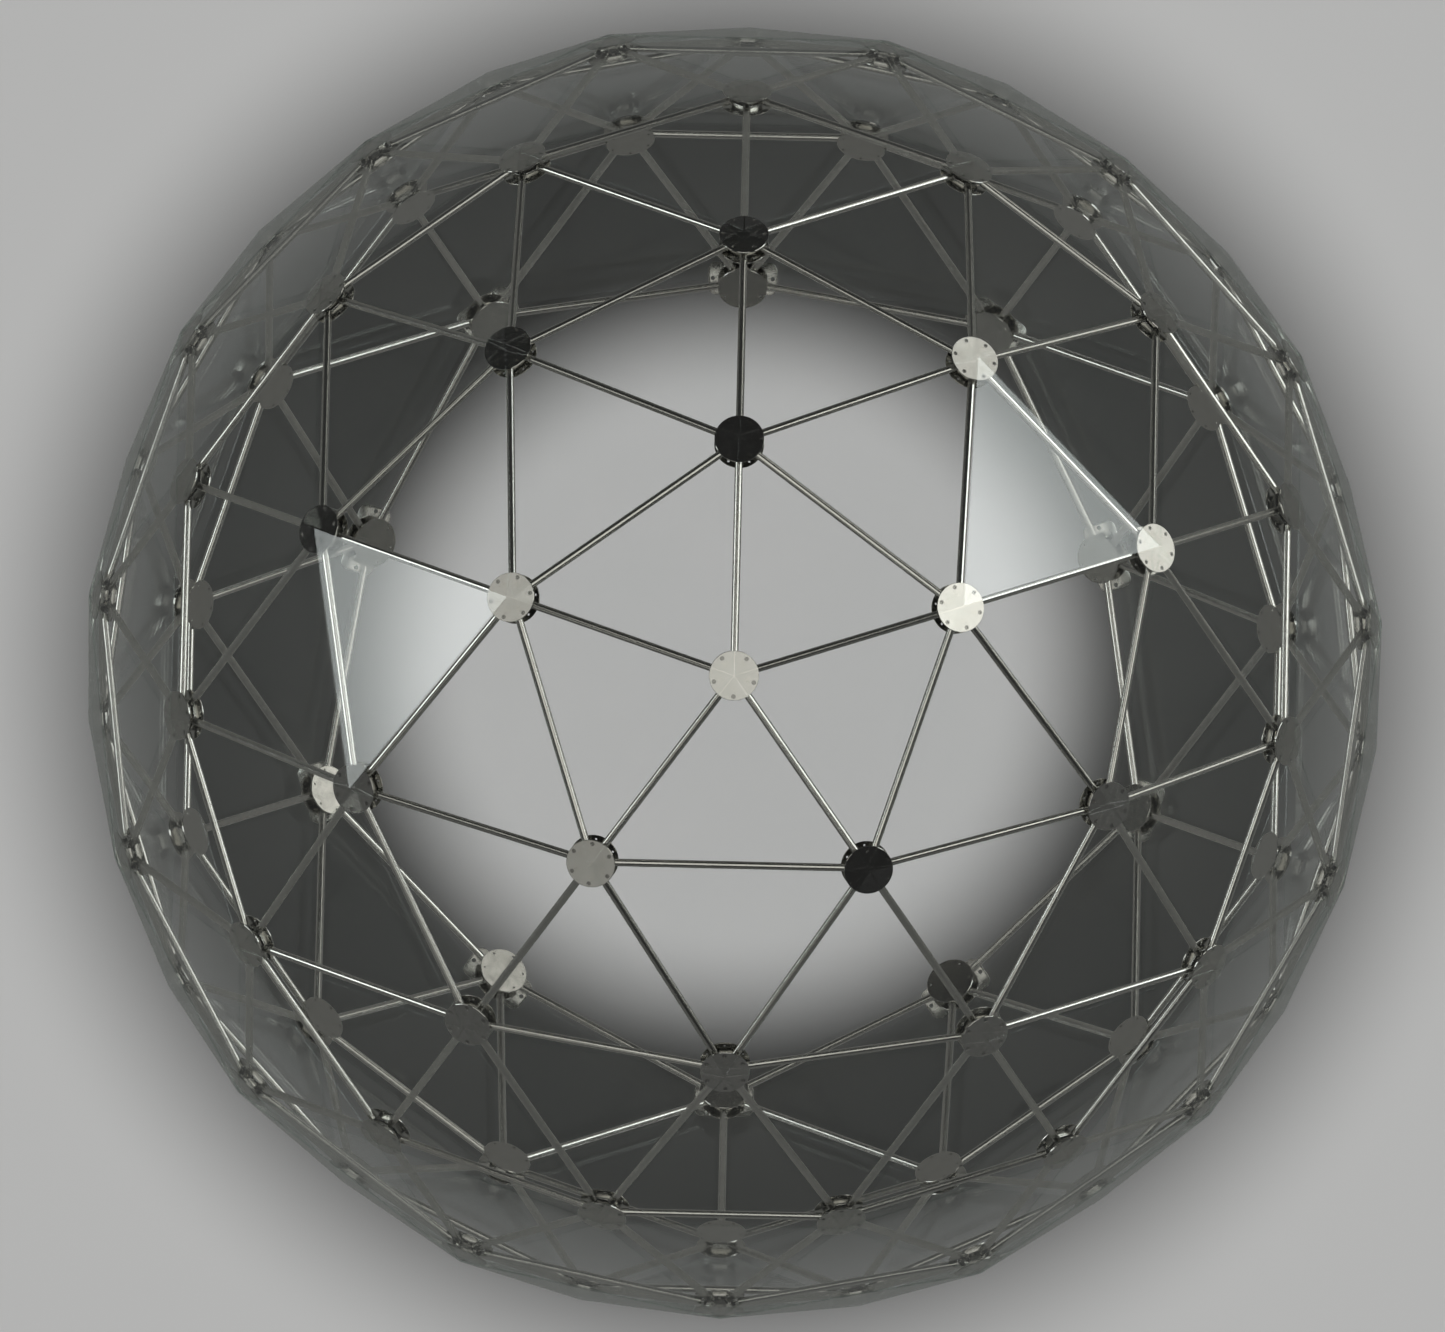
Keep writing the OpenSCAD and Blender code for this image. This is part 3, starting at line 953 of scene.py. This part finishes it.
@dataclass(frozen=True)
class ClearSheet:
    """A clear, smooth solid: it shows what lies behind, and mirrors more the flatter it is seen."""

    name: str
    tint: str
    mirror_head_on: float
    mirror_flat: float
    gloss: float
    wander_mm: float
    clear: str = "#FFFFFF"
    sheen: str = "#F4F7F6"

    def surface(self, tree: Tree) -> Socket:
        """Lays the mirror over the see-through body, with a gloss that wanders a little across it."""
        place = add(tree, "TexCoord").outputs["Object"]
        noise = {"Scale": per_metre(self.wander_mm), "Detail": 2.0}
        wander = add(tree, "TexNoise", noise, {"Vector": place}).outputs["Fac"]
        ends = {"To Min": self.gloss / 2, "To Max": self.gloss * 3 / 2}
        gloss = add(tree, "MapRange", ends, {"Value": wander}).outputs["Result"]
        tones = {"A": linear(self.tint), "B": linear(self.clear)}
        tint = add(tree, "Mix", tones, {"Factor": wander}, data_type="RGBA").outputs["Result"]
        body = add(tree, "BsdfTransparent", NONE, {"Color": tint}).outputs["BSDF"]
        sheen = {"Color": linear(self.sheen)}
        mirror = add(tree, "BsdfGlossy", sheen, {"Roughness": gloss}).outputs["BSDF"]
        # A clear sheet mirrors by the fifth power of how flat it is seen, the same from either side.
        flat = add(tree, "LayerWeight", {"Blend": 0.5}).outputs["Facing"]
        power = add(tree, "Math", {1: 5.0}, {0: flat}, operation="POWER").outputs["Value"]
        ends = {"To Min": self.mirror_head_on, "To Max": self.mirror_flat}
        share = add(tree, "MapRange", ends, {"Value": power}).outputs["Result"]
        return add(tree, "MixShader", NONE, {0: share, 1: body, 2: mirror}).outputs["Shader"]


@dataclass(frozen=True)
class TurnedSteel:
    """Machined steel on the inner parts, which stay as they were drawn: a satin grey with turning marks."""

    name: str
    colour: str
    dark: str
    mark_mm: float
    roughness: tuple[float, float] = (0.18, 0.4)

    def surface(self, tree: Tree) -> Socket:
        """Lays the steel's nodes, with fine marks in its gloss and tone."""
        place = add(tree, "TexCoord").outputs["Object"]
        noise = {"Scale": per_metre(self.mark_mm), "Detail": 3.0}
        marks = add(tree, "TexNoise", noise, {"Vector": place}).outputs["Fac"]
        tones = {"A": linear(self.colour), "B": linear(self.dark)}
        tone = add(tree, "Mix", tones, {"Factor": marks}, data_type="RGBA")
        low, high = self.roughness
        gloss = add(tree, "MapRange", {"To Min": low, "To Max": high}, {"Value": marks})
        links = {"Base Color": tone.outputs["Result"], "Roughness": gloss.outputs["Result"]}
        return add(tree, "BsdfPrincipled", {"Metallic": 1.0}, links).outputs["BSDF"]


class Finish(Enum):
    """Every finish on the dome.

    A steel gives its two tones, its roughness, the size of its strokes and clouds in millimetres, and its
    relief. A clear sheet gives its tint, how much it mirrors head on and seen flat, its gloss, and the
    size in millimetres at which that wanders.
    """

    # Buffed stainless steel: a near mirror with faint clouds, no lay to be seen.
    BUFFED_DISC = Steel("buffed_stainless", "#CCCBC7", "#BEBDB8", (0.02, 0.06), (3, 3, 3), 60, 0.05)
    # Machined stainless steel, then polished: bright, its flats a little softer than the discs.
    MACHINED_HUB = Steel(
        "machined_polished_stainless", "#C9C8C3", "#B5B4AE", (0.12, 0.26), (1.5, 1.5, 0.8), 40, 0.2
    )
    # Drawn stainless tube, polished along its length: a bright line with dark sides, fine grain along it.
    DRAWN_TUBE = Steel(
        "drawn_polished_stainless", "#D8D7D2", "#CAC9C3", (0.16, 0.26), (1.2, 1.2, 90), 120, 0.15
    )
    # Cold-headed stainless screw: plain, a little darker, smooth from the die.
    SCREW = Steel("headed_stainless", "#A9A8A4", "#8E8D89", (0.12, 0.24), (1, 1, 1), 8, 0.2)
    # Ground stainless plate: satin, with short strokes across it.
    GROUND_PLATE = Steel("ground_stainless", "#C4C3BE", "#B2B1AC", (0.16, 0.34), (1.5, 30, 1.5), 50, 0.5)
    # Turned steel of the pins, bolts, rings and tongues inside the hubs: satin, darker than the outside.
    TURNED = TurnedSteel("turned_steel", "#8F8E8A", "#6F6E6B", 3)
    # Low-iron float glass: almost no colour, smooth on both faces.
    PANE = ClearSheet("low_iron_float_glass", "#FCFDFD", 0.04, 1.0, 0.02, 400)
    # The same glass where its edges were ground and polished: a little greener, a little softer.
    PANE_EDGE = ClearSheet("polished_glass_edge", "#F1F6F4", 0.04, 0.5, 0.12, 40)
    # Cast clear silicone: soft pads under the glass, hardly to be seen.
    PAD = ClearSheet("clear_cast_silicone", "#FEFEFD", 0.002, 0.06, 0.2, 30)


@cache
def wear(finish: Finish) -> Material:
    """Builds a finish's material, once."""
    return new_material(finish.value.name, finish.value.surface)


def dress_carried() -> None:
    """Gives the CAD nodes that stay as they are a finish: the hidden fasteners and the clear pads."""
    hidden = ("clamp_bolts", "spacer_rings", "hoop_strut_ends", "brace_strut_ends", "tongue_pins")
    for node, finish in {**dict.fromkeys(hidden, Finish.TURNED), "panel_pads": Finish.PAD}.items():
        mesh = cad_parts[node].data
        mesh.materials.clear()
        mesh.materials.append(wear(finish))
        LOG.info("%s: carried over in %s", node, finish.value.name)


# ---- studio


def hang(data: bpy.types.Light | bpy.types.Camera) -> Piece:
    """Puts a lamp or the camera in the scene under its own name."""
    lamp = bpy.data.objects.new(data.name, data)
    bpy.context.collection.objects.link(lamp)
    return lamp


@dataclass(frozen=True)
class Softbox:
    """A flat soft light that faces the middle of the dome."""

    name: str
    azimuth: float
    zenith: float
    wide: float
    high: float
    radiance: float
    colour: str = "#FFFDF6"
    distance: float = 12

    def light(self, middle: Vector) -> None:
        """Hangs the softbox, facing this point. Its angles and the spans of its sides are in degrees."""
        span = [2 * self.distance * math.tan(math.radians(side / 2)) for side in (self.wide, self.high)]
        data = bpy.data.lights.new(self.name, "AREA")
        data.shape, data.size, data.size_y = "RECTANGLE", *span
        data.energy = self.radiance * math.pi * span[0] * span[1]
        data.color = linear(self.colour)[:3]
        lamp = hang(data)
        outward = Geodesic.toward(math.radians(self.zenith), math.radians(self.azimuth))
        place = Matrix.Translation(middle + outward * self.distance)
        lamp.matrix_world = place @ Placer.outward(outward) @ spun(math.tau / 4)
        lamp.visible_camera = lamp.visible_diffuse = False


# Azimuth, zenith, width and height in degrees, then radiance
SOFTBOXES = (
    Softbox("softbox_top", 0, 0, 35, 35, 1.0),
    Softbox("softbox_right", 29, 63, 26, 24, 3.2, "#F8FDFC"),
    Softbox("softbox_right_high", 19, 42, 24, 16, 1.75),
    Softbox("softbox_right_back", 56, 76, 18, 16, 1.0),
    Softbox("softbox_right_low", 16, 86, 22, 18, 1.35),
    Softbox("softbox_left", 172, 63, 22, 22, 3.0, "#F8FDFC"),
    Softbox("softbox_left_high", 165, 42, 22, 16, 0.72),
    Softbox("softbox_low_left", 236, 42, 22, 16, 0.42),
)


@dataclass(frozen=True)
class Studio:
    """A pale floor under softboxes, and a long lens high over the dome."""

    middle: Vector
    softboxes: tuple[Softbox, ...]
    floor_side: float = 80
    floor_colour: str = "#D2D2D1"
    floor_worn: str = "#CECECD"
    trowel_mm: float = 2500
    fill: float = 0.05
    fill_spread: float = 24
    flood: float = 2.13
    flood_height: float = 60
    # From the dark ring to full light, inwards and outwards, as distances from the middle of the floor
    flood_centre: tuple[float, float] = (1.35, 0.85)
    flood_outside: tuple[float, float] = (1.75, 2.6)
    backdrop: str = "#B2B2B2"
    shade: str = "#242424"
    low_room: str = "#6B6B69"
    dim_room: str = "#5E5E5D"
    dark_room: str = "#2A2A2A"
    # Between which parts of a unit direction's Y or Z the room changes from one tone to the next
    back: tuple[float, float] = (0.05, 0.25)
    above: tuple[float, float] = (0.45, 0.65)
    below: tuple[float, float] = (0.05, -0.15)
    clear_layers: int = 24
    lens: float = 1300
    sensor: float = 36
    clip: tuple[float, float] = (1, 1000)
    view_width: float = 4.677
    roll: float = 1.3
    tilt: float = 0.35
    aim: tuple[float, float] = (-0.037, 0.018)

    def matt(self, tree: Tree) -> Socket:
        """Lays the floor's nodes, with faint trowel clouds in its tone."""
        place = add(tree, "TexCoord").outputs["Object"]
        noise = {"Scale": per_metre(self.trowel_mm), "Detail": 2.0}
        clouds = add(tree, "TexNoise", noise, {"Vector": place}).outputs["Fac"]
        tones = {"A": linear(self.floor_colour), "B": linear(self.floor_worn)}
        tone = add(tree, "Mix", tones, {"Factor": clouds}, data_type="RGBA").outputs["Result"]
        matt = {"Roughness": 0.9, "Specular IOR Level": 0.1}
        return add(tree, "BsdfPrincipled", matt, {"Base Color": tone}).outputs["BSDF"]

    def floor(self) -> None:
        """Lays a matt floor, which the steel doesn't mirror."""
        deselect()
        bpy.ops.mesh.primitive_grid_add(x_subdivisions=8, y_subdivisions=8, size=self.floor_side)
        floor = bpy.context.object
        floor.name = "floor"
        floor.data.materials.append(new_material("matt_floor", self.matt))
        floor.visible_glossy = False

    def surroundings(self) -> None:
        """Sets a pale backdrop for the eye, and a dim room for the steel, dark overhead and towards +Y."""
        world = bpy.data.worlds.new("room")
        bpy.context.scene.world = world
        world.use_nodes = True
        world.cycles.sampling_method = "NONE"
        tree = world.node_tree
        tree.nodes.clear()
        rays = add(tree, "LightPath").outputs
        direction = add(tree, "TexCoord").outputs["Generated"]
        along = add(tree, "SeparateXYZ", NONE, {"Vector": direction}).outputs
        shares = []
        for axis, (low, high) in (("Y", self.back), ("Z", self.above), ("Z", self.below)):
            share = add(tree, "MapRange", {"From Min": low, "From Max": high}, {"Value": along[axis]})
            shares.append(share.outputs["Result"])
        back, above, below = shares
        dark = add(tree, "Math", NONE, {0: back, 1: above}, operation="MAXIMUM").outputs["Value"]
        base = add(tree, "RGB").outputs["Color"]
        base.default_value = linear(self.dim_room)
        layers = (
            (dark, self.dark_room),
            (below, self.low_room),
            (rays["Is Diffuse Ray"], self.shade),
            (rays["Is Camera Ray"], self.backdrop),
        )
        for share, tone in layers:
            over = {"Factor": share, "A": base}
            base = add(tree, "Mix", {"B": linear(tone)}, over, data_type="RGBA").outputs["Result"]
        surface = add(tree, "Background", NONE, {"Color": base})
        add(tree, "OutputWorld", NONE, {"Surface": surface.outputs["Background"]})

    def overhead(self) -> None:
        """Hangs a broad weak light that shades the floor under the dome and isn't mirrored in the steel."""
        data = bpy.data.lights.new("overhead", "SUN")
        data.energy = self.fill
        data.angle = math.radians(self.fill_spread)
        hang(data).visible_glossy = False

    def floodlight(self) -> None:
        """Hangs a high floodlight whose mask leaves the ring of floor under the dome's steep sides dark."""
        data = bpy.data.lights.new("floodlight", "POINT")
        data.energy = self.flood * 4 * math.pi * self.flood_height**2
        data.use_shadow = False
        data.use_nodes = True
        tree = data.node_tree
        tree.nodes.clear()
        ray = add(tree, "TexCoord").outputs["Normal"]
        part = add(tree, "SeparateXYZ", NONE, {"Vector": ray}).outputs
        flat = add(tree, "CombineXYZ", NONE, {"X": part["X"], "Y": part["Y"]}).outputs["Vector"]
        side = add(tree, "VectorMath", NONE, {0: flat}, operation="LENGTH").outputs["Value"]
        slope = add(tree, "Math", NONE, {0: side, 1: part["Z"]}, operation="DIVIDE").outputs["Value"]
        away = add(tree, "Math", NONE, {0: slope}, operation="ABSOLUTE").outputs["Value"]
        fades = []
        for start, end in (self.flood_centre, self.flood_outside):
            ends = {"From Min": start / self.flood_height, "From Max": end / self.flood_height}
            fade = add(tree, "MapRange", ends, {"Value": away}, interpolation_type="SMOOTHSTEP")
            fades.append(fade.outputs["Result"])
        mask = add(tree, "Math", NONE, dict(enumerate(fades)), operation="ADD").outputs["Value"]
        shine = add(tree, "Emission", NONE, {"Strength": mask})
        add(tree, "OutputLight", NONE, {"Surface": shine.outputs["Emission"]})
        lamp = hang(data)
        lamp.location = (0, 0, self.flood_height)
        lamp.visible_camera = lamp.visible_glossy = False

    def camera(self) -> None:
        """Hangs the camera straight over the dome, a little rolled, aimed a little beside the middle."""
        data = bpy.data.cameras.new("camera")
        data.lens, data.sensor_width = self.lens, self.sensor
        data.clip_start, data.clip_end = self.clip
        distance = self.view_width * self.lens / self.sensor
        back = Geodesic.toward(math.radians(self.tilt), math.tau / 4)
        up = Geodesic.toward(math.tau / 4, math.radians(90 + self.roll))
        right = up.cross(back).normalized()
        up = back.cross(right)
        camera = hang(data)
        target = self.middle + right * self.aim[0] + up * self.aim[1]
        turn = Matrix((right, up, back)).transposed().to_4x4()
        camera.matrix_world = Matrix.Translation(target + back * distance) @ turn
        bpy.context.scene.camera = camera

    def build(self) -> None:
        """Sets up the whole studio."""
        self.floor()
        self.surroundings()
        self.overhead()
        self.floodlight()
        for box in self.softboxes:
            box.light(self.middle)
        self.camera()
        scene = bpy.context.scene
        scene.view_settings.view_transform = "Standard"
        scene.cycles.transparent_max_bounces = self.clear_layers


def main() -> None:
    """Builds the dome's parts in order, dresses what is carried over, and sets up the studio."""
    logging.basicConfig(level=logging.INFO, format="%(name)s: %(message)s")
    sizes = Sizes.from_frame()
    placer = Placer(sizes, Geodesic())
    LOG.info("frame radius %.1f mm, %d hubs", sizes.frame_r / MM, len(placer.net.hubs))
    hub, tube, plate = (wear(kind) for kind in (Finish.MACHINED_HUB, Finish.DRAWN_TUBE, Finish.GROUND_PLATE))
    parts = [
        CoverDiscs(placer, wear(Finish.BUFFED_DISC), "cover_disc_top", "cover_discs", "buffed_discs"),
        HubHeads(placer, hub, "hub_head_top", "hub_heads", "machined_heads"),
        HubFeet(placer, hub, "hub_foot_top", "hub_feet", "machined_feet"),
        CoverScrews(placer, wear(Finish.SCREW)),
        Struts(placer, tube),
        Panels(placer, wear(Finish.PANE), wear(Finish.PANE_EDGE)),
        Feet(placer, plate, tube, Reach.LOW),
        Feet(placer, plate, tube, Reach.HIGH),
    ]
    for part in parts:
        part.build()
    dress_carried()
    Studio(Vector((0, 0, sizes.centre_z)), SOFTBOXES).build()


if __name__ == "__main__":
    main()
